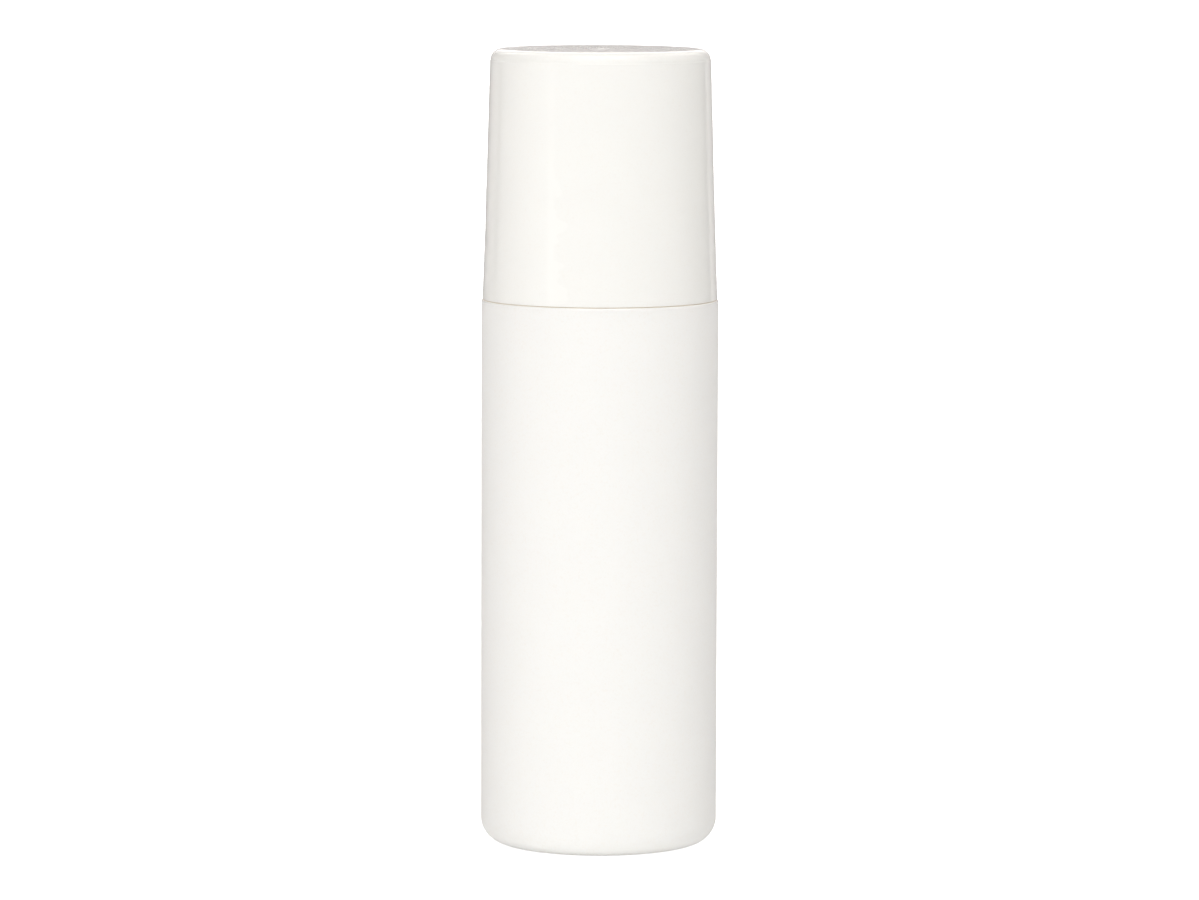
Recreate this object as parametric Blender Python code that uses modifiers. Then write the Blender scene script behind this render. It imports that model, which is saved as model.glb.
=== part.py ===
"""A roll-on bottle with its screw cap on, in metres, standing on its foot with +Z up.

The origin is the centre of the ring that the bottle stands on. Radial sizes are stacked from the
outside in: body, cap shell, inner cap, thread, neck, ball housing, ball. Heights are stacked from the
cap's top down to the ball, and the neck's rim lies where the housing holds that ball.
"""

import math

import bmesh
import bpy

# The whole object
OVERALL_HEIGHT = 0.1143
BODY_RADIUS = 0.0170
CAP_HEIGHT = 0.0358

# Gaps between pieces at rest
PIECE_GAP = 0.0003
SEAM_GAP = 0.00022
BALL_GAP = 0.0002
CREST_GAP = 0.0002

# Bottle body and foot
BOTTLE_WALL = 0.0011
SHOULDER_WALL = 0.0013
SHOULDER_EDGE_RADIUS = 0.0008
SHOULDER_INNER_RADIUS = 0.0015
FOOT_RADIUS = 0.0035
FOOT_WALL = 0.0013
STANDING_RING_WIDTH = 0.0019
PUSH_UP_HEIGHT = 0.0015
PUSH_UP_SLOPE_WIDTH = 0.0040
PINCH_LINE_WIDTH = 0.0007
PINCH_LINE_DROP = 0.0003
PINCH_LINE_END_MARGIN = 0.0006
FOOT_SLOPE_SEGMENTS = 4

# Neck and its thread
NECK_WALL = 0.0012
NECK_ROOT_FILLET = 0.0004
NECK_RIM_FILLET = 0.0004
BORE_CHAMFER = 0.0003
BORE_FOOT_FILLET = 0.0008
THREAD_LEAD = 0.0036
THREAD_SINK = 0.0004
NECK_THREAD_DEPTH = 0.0011
NECK_THREAD_ROOT_WIDTH = 0.0019
NECK_THREAD_CREST_WIDTH = 0.0008
NECK_THREAD_START_SHARE = 0.27
NECK_THREAD_END_SHARE = 0.75
THREAD_TAPER_SHARE = 0.09
THREAD_TIP_SHARE = 0.3

# Outer cap
CAP_STEP = 0.00017
CAP_DRAFT = 0.00110
CAP_EDGE_RADIUS = 0.0016
CAP_FOOT_FILLET = 0.0002
OUTER_CAP_WALL = 0.0010
OUTER_CROWN = 0.0013
CROWN_INNER_FILLET = 0.0008
SNAP_BEAD_START = 0.0005
SNAP_BEAD_WIDTH = 0.0007
SNAP_BEAD_DEPTH = 0.00035
DRIVE_LUG_COUNT = 6
DRIVE_LUG_LENGTH = 0.0024
DRIVE_LUG_WIDTH = 0.0009
DRIVE_LUG_DROP = 0.0009
DRIVE_LUG_RIM_MARGIN = 0.0003

# Inner cap
INNER_CAP_WALL = 0.0007
INNER_CROWN = 0.0010
INNER_CAP_EDGE_RADIUS = 0.0012
THREAD_ZONE_SHARE = 0.35
CAP_THREAD_DEPTH = 0.00065
CAP_THREAD_ROOT_WIDTH = 0.0015
CAP_THREAD_CREST_WIDTH = 0.0007
CAP_THREAD_START_SHARE = 0.25
CAP_THREAD_END_SHARE = 0.95
COLLAR_WALL = 0.0008
COLLAR_LIP_DEPTH = 0.0004
COLLAR_LIP_HEIGHT = 0.0005

# Sealing disc
DISC_RADIUS = 0.0090
DISC_THICKNESS = 0.0024
DISC_CHAMFER = 0.0003

# Ball housing
CUP_WALL = 0.0006
LIP_REACH = 0.00035
LIP_HEIGHT = 0.0005
LIP_FILLET = 0.0006
FLANGE_CHAMFER = 0.0002
PLUG_LENGTH = 0.0056
PLUG_RIM_WALL = 0.0009
PLUG_WALL = 0.0009
PLUG_LEAD_IN = 0.0006
PLUG_RIB_DEPTH = 0.0003
PLUG_RIB_WIDTH = 0.0008
PLUG_RIB_SHARES = (0.30, 0.62)
SEAT_REACH = 0.0011
SEAT_THICKNESS = 0.0008

# Roller ball
BALL_WALL = 0.0012
VENT_RADIUS = 0.0004

# How finely round shapes are divided
OUTER_STEPS = 60
INNER_STEPS = 44
BALL_STEPS = 28
THREAD_STEPS_A_TURN = 30
MERGE_DISTANCE = 0.000002
SMOOTH_ANGLE = math.radians(32)

# Heights above the shoulder, worked out from the cap's top down
CROWN_UNDERSIDE = CAP_HEIGHT - OUTER_CROWN
INNER_CAP_TOP = CROWN_UNDERSIDE - PIECE_GAP
INNER_CROWN_UNDERSIDE = INNER_CAP_TOP - INNER_CROWN
DISC_TOP = INNER_CROWN_UNDERSIDE - PIECE_GAP
DISC_BOTTOM = DISC_TOP - DISC_THICKNESS
BALL_TOP = DISC_BOTTOM - PIECE_GAP
SNAP_BEAD_END = SEAM_GAP + SNAP_BEAD_START + SNAP_BEAD_WIDTH
INNER_CAP_FOOT = SNAP_BEAD_END + PIECE_GAP
SHOULDER_HEIGHT = OVERALL_HEIGHT - CAP_HEIGHT

# The recess under the foot
RING_INNER_RADIUS = BODY_RADIUS - FOOT_RADIUS - STANDING_RING_WIDTH
PUSH_UP_FLAT_RADIUS = RING_INNER_RADIUS - PUSH_UP_SLOPE_WIDTH


def cap_radius(height):
    """The outer cap's outside radius at a height above the shoulder."""
    return BODY_RADIUS - CAP_STEP - CAP_DRAFT * height / CAP_HEIGHT


def shell_bore(height):
    """The outer cap's inside radius at a height above the shoulder."""
    return cap_radius(height) - OUTER_CAP_WALL


def liner_radius(height):
    """The inner cap's outside radius at a height above the shoulder."""
    return shell_bore(height) - PIECE_GAP


# Radii, worked out from the cap's outside in
THREAD_ZONE_TOP = THREAD_ZONE_SHARE * CAP_HEIGHT
CAP_THREAD_ROOT_RADIUS = liner_radius(THREAD_ZONE_TOP) - INNER_CAP_WALL
CAP_THREAD_CREST_RADIUS = CAP_THREAD_ROOT_RADIUS - CAP_THREAD_DEPTH
NECK_THREAD_CREST_RADIUS = CAP_THREAD_ROOT_RADIUS - CREST_GAP
NECK_RADIUS = NECK_THREAD_CREST_RADIUS - NECK_THREAD_DEPTH
NECK_BORE_RADIUS = NECK_RADIUS - NECK_WALL
PLUG_RADIUS = NECK_BORE_RADIUS - PIECE_GAP
CUP_RADIUS_AT_RIM = PLUG_RADIUS - PLUG_RIM_WALL
FLANGE_RADIUS = CAP_THREAD_CREST_RADIUS - PIECE_GAP

# Threads: the cap's bead lies one flank gap under the neck's bead
CAP_FLANK_SLOPE = (CAP_THREAD_ROOT_WIDTH - CAP_THREAD_CREST_WIDTH) / CAP_THREAD_DEPTH
CAP_THREAD_MESH_WIDTH = CAP_THREAD_ROOT_WIDTH - CAP_FLANK_SLOPE * CREST_GAP
THREAD_OFFSET = (NECK_THREAD_CREST_WIDTH + CAP_THREAD_MESH_WIDTH) / 2 + PIECE_GAP
BEADS_WIDTH = (CAP_THREAD_ROOT_WIDTH + NECK_THREAD_ROOT_WIDTH) / 2
THREADED_HEIGHT = THREAD_LEAD + THREAD_OFFSET + BEADS_WIDTH + NECK_RIM_FILLET

# The ball is as wide as the cap's thread lets its cup be, or as the height over the shortest neck lets it
HEIGHT_OVER_NECK = BALL_TOP - INNER_CAP_FOOT - THREADED_HEIGHT
BALL_RADIUS_UNDER_CROWN = (HEIGHT_OVER_NECK**2 + CUP_RADIUS_AT_RIM**2 - BALL_GAP**2) / (
    2 * (HEIGHT_OVER_NECK + BALL_GAP)
)
BALL_RADIUS = min(FLANGE_RADIUS - CUP_WALL - BALL_GAP, BALL_RADIUS_UNDER_CROWN)
CUP_BORE_RADIUS = BALL_RADIUS + BALL_GAP
CUP_RADIUS = CUP_BORE_RADIUS + CUP_WALL

# The ball sits as low in the neck as its cup can pass through the bore
BALL_STANDOUT = math.sqrt(CUP_BORE_RADIUS**2 - CUP_RADIUS_AT_RIM**2)
BALL_CENTRE_HEIGHT = SHOULDER_HEIGHT + BALL_TOP - BALL_RADIUS
RIM_HEIGHT = BALL_CENTRE_HEIGHT - BALL_STANDOUT
NECK_HEIGHT = RIM_HEIGHT - SHOULDER_HEIGHT
NECK_THREAD_START = NECK_HEIGHT * NECK_THREAD_START_SHARE
NECK_THREAD_END = NECK_HEIGHT * NECK_THREAD_END_SHARE
NECK_THREAD_TURNS = (NECK_THREAD_END - NECK_THREAD_START) / THREAD_LEAD

for old in list(bpy.data.objects):
    bpy.data.objects.remove(old)

PARTS = bpy.data.collections.new("roll_on_bottle")
CUTTERS = bpy.data.collections.new("cutters")
CUTTERS.hide_render = True
for collection in (PARTS, CUTTERS):
    bpy.context.scene.collection.children.link(collection)


def plastic(name, colour, roughness):
    """A plain moulded plastic."""
    material = bpy.data.materials.new(name)
    material.use_nodes = True
    shader = material.node_tree.nodes["Principled BSDF"]
    shader.inputs["Base Color"].default_value = (*colour, 1)
    shader.inputs["Roughness"].default_value = roughness
    shader.inputs["Metallic"].default_value = 0
    return material


def arc(centre_r, centre_z, radius, start_deg, end_deg, segments):
    """Points (r, z) along an arc, its two ends included."""
    points = []
    for i in range(segments + 1):
        angle = math.radians(start_deg + (end_deg - start_deg) * i / segments)
        points.append((centre_r + radius * math.cos(angle), centre_z + radius * math.sin(angle)))
    return points


def profile_mesh(name, profile):
    """An outline in the XZ plane. One that stays off the axis is closed to a loop."""
    points = [(r, 0, z) for r, z in profile]
    edges = [(i, i + 1) for i in range(len(points) - 1)]
    on_axis = profile[0][0] == 0 and profile[-1][0] == 0
    if not on_axis:
        edges.append((len(points) - 1, 0))
    mesh = bpy.data.meshes.new(name)
    mesh.from_pydata(points, edges, [])
    return mesh


def turned(name, profile, steps):
    """A solid of revolution about +Z. Its profile runs up inside the piece and down outside it."""
    obj = bpy.data.objects.new(name, profile_mesh(name, profile))
    PARTS.objects.link(obj)
    screw = obj.modifiers.new("turn", "SCREW")
    screw.axis = "Z"
    screw.angle = 2 * math.pi
    screw.steps = steps
    screw.render_steps = steps
    screw.use_merge_vertices = True
    screw.merge_threshold = MERGE_DISTANCE
    return obj


def as_helper(obj):
    """Marks a cutter or another piece that only serves a Boolean."""
    obj.hide_render = True
    obj.display_type = "WIRE"
    return obj


def boolean(obj, other, operation):
    modifier = obj.modifiers.new(other.name, "BOOLEAN")
    modifier.operation = operation
    modifier.solver = "EXACT"
    modifier.object = other


def evaluated_mesh(obj):
    """The object's mesh with its modifiers applied."""
    graph = bpy.context.evaluated_depsgraph_get()
    return bpy.data.meshes.new_from_object(obj.evaluated_get(graph))


def finished(obj, material):
    """Applies the modifiers, shades the round faces smooth and gives the piece its material."""
    mesh = evaluated_mesh(obj)
    obj.modifiers.clear()
    obj.data = mesh
    mesh.name = obj.name
    mesh.shade_smooth()
    mesh.set_sharp_from_angle(angle=SMOOTH_ANGLE)
    mesh.materials.clear()
    mesh.materials.append(material)
    return obj


def bead_section(name, root_width, crest_width, depth, outward):
    """A thread's cross-section: sunk in the wall at one side and narrowing to its crest at the other."""
    flank_slope = (root_width - crest_width) / depth
    sunk_width = root_width + flank_slope * THREAD_SINK
    corners = [
        (-THREAD_SINK, -sunk_width / 2),
        (depth, -crest_width / 2),
        (depth, crest_width / 2),
        (-THREAD_SINK, sunk_width / 2),
    ]
    curve = bpy.data.curves.new(name, "CURVE")
    curve.dimensions = "2D"
    curve.fill_mode = "NONE"
    spline = curve.splines.new("POLY")
    spline.points.add(len(corners) - 1)
    for point, (reach, height) in zip(spline.points, corners):
        point.co = (reach * outward, height, 0, 1)
    spline.use_cyclic_u = True
    obj = bpy.data.objects.new(name, curve)
    CUTTERS.objects.link(obj)
    return as_helper(obj)


def taper_at(share):
    """The size of a bead's section along it: full, and drawn in towards both ends."""
    from_end = min(share, 1 - share)
    rise = min(1, from_end / THREAD_TAPER_SHARE)
    return THREAD_TIP_SHARE + (1 - THREAD_TIP_SHARE) * math.sin(rise * math.pi / 2)


def thread(name, section, radius, start_height, start_turn, end_turn):
    """A helical bead on a wall of that radius, with its height counted from turn zero."""
    count = math.ceil((end_turn - start_turn) * THREAD_STEPS_A_TURN)
    curve = bpy.data.curves.new(name, "CURVE")
    curve.dimensions = "3D"
    curve.twist_mode = "Z_UP"
    curve.bevel_mode = "OBJECT"
    curve.bevel_object = section
    curve.use_fill_caps = True
    spline = curve.splines.new("POLY")
    spline.points.add(count)
    for i, point in enumerate(spline.points):
        turn = start_turn + (end_turn - start_turn) * i / count
        angle = 2 * math.pi * turn
        height = start_height + THREAD_LEAD * turn
        point.co = (radius * math.cos(angle), radius * math.sin(angle), height, 1)
        point.radius = taper_at(i / count)
    source = bpy.data.objects.new(name + "_curve", curve)
    CUTTERS.objects.link(source)
    mesh = evaluated_mesh(source)
    bpy.data.objects.remove(source)
    bpy.data.objects.remove(section)
    work = bmesh.new()
    work.from_mesh(mesh)
    bmesh.ops.remove_doubles(work, verts=work.verts, dist=MERGE_DISTANCE)
    bmesh.ops.recalc_face_normals(work, faces=work.faces)
    work.to_mesh(mesh)
    work.free()
    obj = bpy.data.objects.new(name, mesh)
    CUTTERS.objects.link(obj)
    return as_helper(obj)


def block(name, size, centre, turn=0):
    """A box of this size, turned about Z round the part's axis."""
    work = bmesh.new()
    bmesh.ops.create_cube(work, size=1)
    for vertex in work.verts:
        vertex.co = [vertex.co[i] * size[i] + centre[i] for i in range(3)]
    mesh = bpy.data.meshes.new(name)
    work.to_mesh(mesh)
    work.free()
    obj = bpy.data.objects.new(name, mesh)
    obj.rotation_euler = (0, 0, turn)
    CUTTERS.objects.link(obj)
    return as_helper(obj)


def push_up_profile(height):
    """The slope from the standing ring up to the recess's flat middle, on a face at that height."""
    points = []
    for i in range(FOOT_SLOPE_SEGMENTS + 1):
        share = i / FOOT_SLOPE_SEGMENTS
        rise = (1 - math.cos(math.pi * share)) / 2
        points.append((RING_INNER_RADIUS - PUSH_UP_SLOPE_WIDTH * share, height + PUSH_UP_HEIGHT * rise))
    return points


def bottle():
    """The blown body: foot, wall, shoulder and threaded neck in one piece."""
    inner_radius = BODY_RADIUS - BOTTLE_WALL
    inner_corner = FOOT_RADIUS - BOTTLE_WALL
    shoulder_underside = SHOULDER_HEIGHT - SHOULDER_WALL
    profile = [(0, PUSH_UP_HEIGHT + FOOT_WALL)]
    profile += reversed(push_up_profile(FOOT_WALL))
    profile += arc(inner_radius - inner_corner, FOOT_WALL + inner_corner, inner_corner, -90, 0, 4)
    profile += arc(
        inner_radius - SHOULDER_INNER_RADIUS,
        shoulder_underside - SHOULDER_INNER_RADIUS,
        SHOULDER_INNER_RADIUS,
        0,
        90,
        3,
    )
    bore_foot = shoulder_underside + BORE_FOOT_FILLET
    profile += arc(NECK_BORE_RADIUS + BORE_FOOT_FILLET, bore_foot, BORE_FOOT_FILLET, 270, 180, 2)
    profile.append((NECK_BORE_RADIUS, RIM_HEIGHT - BORE_CHAMFER))
    profile.append((NECK_BORE_RADIUS + BORE_CHAMFER, RIM_HEIGHT))
    profile += arc(NECK_RADIUS - NECK_RIM_FILLET, RIM_HEIGHT - NECK_RIM_FILLET, NECK_RIM_FILLET, 90, 0, 3)
    profile += arc(
        NECK_RADIUS + NECK_ROOT_FILLET, SHOULDER_HEIGHT + NECK_ROOT_FILLET, NECK_ROOT_FILLET, 180, 270, 2
    )
    profile += arc(
        BODY_RADIUS - SHOULDER_EDGE_RADIUS,
        SHOULDER_HEIGHT - SHOULDER_EDGE_RADIUS,
        SHOULDER_EDGE_RADIUS,
        90,
        0,
        5,
    )
    profile += arc(BODY_RADIUS - FOOT_RADIUS, FOOT_RADIUS, FOOT_RADIUS, 0, -90, 8)
    profile += push_up_profile(0)
    profile.append((0, PUSH_UP_HEIGHT))
    obj = turned("bottle", profile, OUTER_STEPS)

    section = bead_section(
        "neck_section", NECK_THREAD_ROOT_WIDTH, NECK_THREAD_CREST_WIDTH, NECK_THREAD_DEPTH, 1
    )
    bead_start = SHOULDER_HEIGHT + NECK_THREAD_START
    bead = thread("neck_thread", section, NECK_RADIUS, bead_start, 0, NECK_THREAD_TURNS)
    boolean(obj, bead, "UNION")

    pinch_length = 2 * (PUSH_UP_FLAT_RADIUS - PINCH_LINE_END_MARGIN)
    pinch_height = PINCH_LINE_DROP + FOOT_WALL / 2
    pinch = block(
        "pinch_line",
        (pinch_length, PINCH_LINE_WIDTH, pinch_height),
        (0, 0, PUSH_UP_HEIGHT - PINCH_LINE_DROP + pinch_height / 2),
    )
    boolean(obj, pinch, "UNION")
    return finished(obj, plastic("satin_white_polyethylene", (0.90, 0.89, 0.86), 0.42))


def plug_rib(height):
    """A round sealing rib on the plug, listed from its top down."""
    half = PLUG_RIB_WIDTH / 2
    body = PLUG_RADIUS - PLUG_RIB_DEPTH
    return [
        (body, height + half),
        (PLUG_RADIUS, height + half / 2),
        (PLUG_RADIUS, height - half / 2),
        (body, height - half),
    ]


def ball_housing():
    """The plug that snaps into the neck, with its flange on the rim and its lip round the ball."""
    plug_body = PLUG_RADIUS - PLUG_RIB_DEPTH
    plug_bore = plug_body - PLUG_WALL
    seat_radius = plug_bore - SEAT_REACH
    seat_depth = math.sqrt(CUP_BORE_RADIUS**2 - seat_radius**2)
    lip_radius = BALL_RADIUS - LIP_REACH
    lip_rise = math.sqrt(CUP_BORE_RADIUS**2 - lip_radius**2)
    centre = BALL_STANDOUT
    lip_top = centre + lip_rise + LIP_HEIGHT
    seat_angle = -math.degrees(math.asin(seat_depth / CUP_BORE_RADIUS))
    lip_angle = math.degrees(math.asin(lip_rise / CUP_BORE_RADIUS))
    seat_edge = centre - seat_depth
    profile = [
        (plug_bore, -PLUG_LENGTH),
        (plug_bore, seat_edge - SEAT_THICKNESS - SEAT_REACH),
        (seat_radius, seat_edge - SEAT_THICKNESS),
    ]
    profile += arc(0, centre, CUP_BORE_RADIUS, seat_angle, lip_angle, 9)
    profile.append((lip_radius + LIP_HEIGHT / 2, lip_top))
    profile += arc(CUP_RADIUS - LIP_FILLET, lip_top - LIP_FILLET, LIP_FILLET, 90, 0, 3)
    profile += [
        (FLANGE_RADIUS, PIECE_GAP + FLANGE_CHAMFER),
        (FLANGE_RADIUS - FLANGE_CHAMFER, PIECE_GAP),
        (plug_body, PIECE_GAP),
    ]
    for share in PLUG_RIB_SHARES:
        profile += plug_rib(-PLUG_LENGTH * share)
    profile += [
        (plug_body, PLUG_LEAD_IN - PLUG_LENGTH),
        (plug_body - PLUG_LEAD_IN / 2, -PLUG_LENGTH),
    ]
    obj = turned("ball_housing", profile, INNER_STEPS)
    obj.location = (0, 0, RIM_HEIGHT)
    return finished(obj, plastic("natural_polyethylene", (0.88, 0.88, 0.87), 0.35))


def roller_ball():
    """The hollow ball. Its poles and its vent lie on X, which is the axis it is rolled about."""
    inner = BALL_RADIUS - BALL_WALL
    outer_vent = -math.degrees(math.acos(VENT_RADIUS / BALL_RADIUS))
    inner_vent = -math.degrees(math.acos(VENT_RADIUS / inner))
    profile = arc(0, 0, BALL_RADIUS, 90, outer_vent, 14)
    profile += arc(0, 0, inner, inner_vent, 90, 9)
    profile[0] = (0, BALL_RADIUS)
    profile[-1] = (0, inner)
    obj = turned("roller_ball", profile, BALL_STEPS)
    obj.location = (0, 0, BALL_CENTRE_HEIGHT)
    obj.rotation_euler = (0, math.pi / 2, 0)
    return finished(obj, plastic("glossy_white_polypropylene_ball", (0.92, 0.92, 0.91), 0.12))


def cap_axis():
    """The screw axis that the cap's pieces hang on, at the shoulder."""
    empty = bpy.data.objects.new("cap_axis", None)
    empty.location = (0, 0, SHOULDER_HEIGHT)
    PARTS.objects.link(empty)
    return empty


def drive_lug_places():
    """Turn and middle radius of each lug that locks the two caps together."""
    radius = liner_radius(INNER_CAP_TOP) - INNER_CAP_EDGE_RADIUS - DRIVE_LUG_RIM_MARGIN - DRIVE_LUG_LENGTH / 2
    return [(2 * math.pi * i / DRIVE_LUG_COUNT, radius) for i in range(DRIVE_LUG_COUNT)]


def outer_cap(axis):
    """The glossy shell, with the snap bead and the lugs that hold the inner cap."""
    foot = SEAM_GAP
    bead_start = foot + SNAP_BEAD_START
    edge_centre = cap_radius(CAP_HEIGHT) - CAP_EDGE_RADIUS
    foot_centre = cap_radius(foot) - CAP_FOOT_FILLET
    profile = [(0, CAP_HEIGHT)]
    profile += arc(edge_centre, CAP_HEIGHT - CAP_EDGE_RADIUS, CAP_EDGE_RADIUS, 90, 0, 7)
    profile += arc(foot_centre, foot + CAP_FOOT_FILLET, CAP_FOOT_FILLET, 0, -90, 2)
    profile += [
        (shell_bore(foot), foot),
        (shell_bore(bead_start), bead_start),
        (shell_bore(bead_start) - SNAP_BEAD_DEPTH, bead_start + SNAP_BEAD_WIDTH / 3),
        (shell_bore(bead_start) - SNAP_BEAD_DEPTH, bead_start + SNAP_BEAD_WIDTH * 2 / 3),
        (shell_bore(SNAP_BEAD_END), SNAP_BEAD_END),
    ]
    profile += arc(
        shell_bore(CROWN_UNDERSIDE) - CROWN_INNER_FILLET,
        CROWN_UNDERSIDE - CROWN_INNER_FILLET,
        CROWN_INNER_FILLET,
        0,
        90,
        3,
    )
    profile.append((0, CROWN_UNDERSIDE))
    obj = turned("outer_cap", profile, OUTER_STEPS)
    obj.parent = axis
    for i, (turn, radius) in enumerate(drive_lug_places()):
        height = DRIVE_LUG_DROP + OUTER_CROWN / 2
        lug = block(
            f"drive_lug_{i + 1}",
            (DRIVE_LUG_LENGTH, DRIVE_LUG_WIDTH, height),
            (radius, 0, CROWN_UNDERSIDE - DRIVE_LUG_DROP + height / 2),
            turn,
        )
        lug.parent = axis
        boolean(obj, lug, "UNION")
    return finished(obj, plastic("glossy_white_polypropylene", (0.92, 0.91, 0.88), 0.14))


def inner_cap(axis):
    """The threaded liner, with the collar in its crown that holds the sealing disc."""
    crown_corner = liner_radius(INNER_CAP_TOP) - INNER_CAP_EDGE_RADIUS
    collar_bore = DISC_RADIUS + PIECE_GAP
    collar_radius = collar_bore + COLLAR_WALL
    lip_top = DISC_BOTTOM - PIECE_GAP
    lip_foot = lip_top - COLLAR_LIP_HEIGHT
    inner_corner = INNER_CAP_EDGE_RADIUS - INNER_CAP_WALL
    crown_bore = liner_radius(INNER_CROWN_UNDERSIDE) - INNER_CAP_WALL
    profile = [(0, INNER_CAP_TOP)]
    profile += arc(crown_corner, INNER_CAP_TOP - INNER_CAP_EDGE_RADIUS, INNER_CAP_EDGE_RADIUS, 90, 0, 4)
    profile += [
        (liner_radius(INNER_CAP_FOOT), INNER_CAP_FOOT),
        (CAP_THREAD_ROOT_RADIUS + inner_corner / 2, INNER_CAP_FOOT),
        (CAP_THREAD_ROOT_RADIUS, INNER_CAP_FOOT + inner_corner),
        (CAP_THREAD_ROOT_RADIUS, THREAD_ZONE_TOP),
    ]
    profile += arc(crown_bore - inner_corner, INNER_CROWN_UNDERSIDE - inner_corner, inner_corner, 0, 90, 2)
    profile += [
        (collar_radius, INNER_CROWN_UNDERSIDE),
        (collar_radius, lip_foot),
        (collar_bore - COLLAR_LIP_DEPTH, lip_foot),
        (collar_bore - COLLAR_LIP_DEPTH, lip_top - COLLAR_LIP_DEPTH / 2),
        (collar_bore, lip_top),
        (collar_bore, INNER_CROWN_UNDERSIDE),
        (0, INNER_CROWN_UNDERSIDE),
    ]
    obj = turned("inner_cap", profile, INNER_STEPS)
    obj.parent = axis

    section = bead_section(
        "cap_section", CAP_THREAD_ROOT_WIDTH, CAP_THREAD_CREST_WIDTH, CAP_THREAD_DEPTH, -1
    )
    bead = thread(
        "cap_thread",
        section,
        CAP_THREAD_ROOT_RADIUS,
        NECK_THREAD_START - THREAD_OFFSET,
        NECK_THREAD_TURNS * CAP_THREAD_START_SHARE,
        NECK_THREAD_TURNS * CAP_THREAD_END_SHARE,
    )
    bead.parent = axis
    boolean(obj, bead, "UNION")
    for i, (turn, radius) in enumerate(drive_lug_places()):
        slot = block(
            f"lug_slot_{i + 1}",
            (DRIVE_LUG_LENGTH + 2 * PIECE_GAP, DRIVE_LUG_WIDTH + 2 * PIECE_GAP, 3 * INNER_CROWN),
            (radius, 0, INNER_CAP_TOP),
            turn,
        )
        slot.parent = axis
        boolean(obj, slot, "DIFFERENCE")
    return finished(obj, plastic("white_polypropylene", (0.86, 0.86, 0.85), 0.35))


def sealing_disc(axis):
    """The flexible disc in the inner cap's collar, right over the ball."""
    profile = [
        (0, DISC_THICKNESS),
        (DISC_RADIUS - DISC_CHAMFER, DISC_THICKNESS),
        (DISC_RADIUS, DISC_THICKNESS - DISC_CHAMFER),
        (DISC_RADIUS, DISC_CHAMFER),
        (DISC_RADIUS - DISC_CHAMFER, 0),
        (0, 0),
    ]
    obj = turned("sealing_disc", profile, INNER_STEPS)
    obj.parent = axis
    obj.location = (0, 0, DISC_BOTTOM)
    return finished(obj, plastic("soft_elastomer", (0.80, 0.80, 0.78), 0.6))


def build():
    bottle()
    ball_housing()
    roller_ball()
    axis = cap_axis()
    outer_cap(axis)
    inner_cap(axis)
    sealing_disc(axis)


build()
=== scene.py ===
"""The looks of a roll-on bottle with its screw cap, in metres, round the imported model.

Every piece is turned afresh from a fine outline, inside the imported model's own box, and stands for the
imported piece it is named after. The origin is the centre of the ring that the bottle stands on.
"""

import math

import bpy
import numpy as np
from mathutils import Matrix


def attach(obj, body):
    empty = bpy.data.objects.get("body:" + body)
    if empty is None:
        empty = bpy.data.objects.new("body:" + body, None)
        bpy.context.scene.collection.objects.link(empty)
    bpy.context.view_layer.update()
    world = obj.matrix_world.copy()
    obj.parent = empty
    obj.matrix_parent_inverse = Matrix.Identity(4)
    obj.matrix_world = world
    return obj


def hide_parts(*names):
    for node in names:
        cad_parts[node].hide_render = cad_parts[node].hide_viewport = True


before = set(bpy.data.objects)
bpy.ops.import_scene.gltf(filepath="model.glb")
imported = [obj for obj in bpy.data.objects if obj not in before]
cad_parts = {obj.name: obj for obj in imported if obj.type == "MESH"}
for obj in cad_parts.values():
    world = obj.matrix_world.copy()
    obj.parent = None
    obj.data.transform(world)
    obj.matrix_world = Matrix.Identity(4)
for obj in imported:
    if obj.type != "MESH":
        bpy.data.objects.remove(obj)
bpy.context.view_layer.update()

# The body. Its shoulder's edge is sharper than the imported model's
HEIGHT = 0.1143
BODY_RADIUS = 0.0170
SHOULDER = 0.0785
FOOT_RADIUS = 0.0035
FOOT_WALL = 0.0013
BOTTLE_WALL = 0.0011
SHOULDER_WALL = 0.0013
SHOULDER_EDGE = 0.0004
SHOULDER_INSIDE = 0.0015
RING_INSIDE = 0.0116
PUSH_UP_FLAT = 0.0076
PUSH_UP = 0.0015
PUSH_UP_STEP = 0.0002

# The neck and both threads
NECK_RADIUS = 0.013145
NECK_BORE = 0.011945
RIM = 0.088876
NECK_FILLET = 0.0004
BORE_CHAMFER = 0.0003
BORE_FOOT = 0.0008
LEAD = 0.0036
NECK_BEAD = {"depth": 0.0011, "root": 0.0019, "crest": 0.0008}
CAP_BEAD = {"depth": 0.00065, "root": 0.0015, "crest": 0.0007}
NECK_BEAD_START = 0.002802
NECK_BEAD_TURNS = 1.3834
CAP_BEAD_DROP = 0.001327
CAP_BEAD_SHARES = (0.25, 0.95)
BEAD_FADE = 0.09

# The cap's shell. CAP_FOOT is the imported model's gap at the seam, and CAP_SEAT is the one that is shown.
# CAP_EDGE_END is the angle in degrees where the edge's arc meets the drafted wall
CAP_FOOT = 0.00022
CAP_SEAT = 0.00002
CAP_TALL = 0.0358
CAP_STEP = 0.00017
CAP_DRAFT = 0.00110
CAP_WALL = 0.0010
CAP_CROWN = 0.0013
CAP_EDGE = 0.0016
CAP_EDGE_END = 1.76
CAP_FOOT_EDGE = 0.00007
CROWN_INSIDE = 0.0008
CROWN_FLAT = 0.0120
SNAP_BEAD = {"start": 0.0005, "width": 0.0007, "depth": 0.00035, "fullness": 0.8, "clear": 0.0004}
GAP = 0.0003
LUG = {"count": 6, "long": 0.0024, "wide": 0.0009, "drop": 0.0009, "margin": 0.0003}

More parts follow.
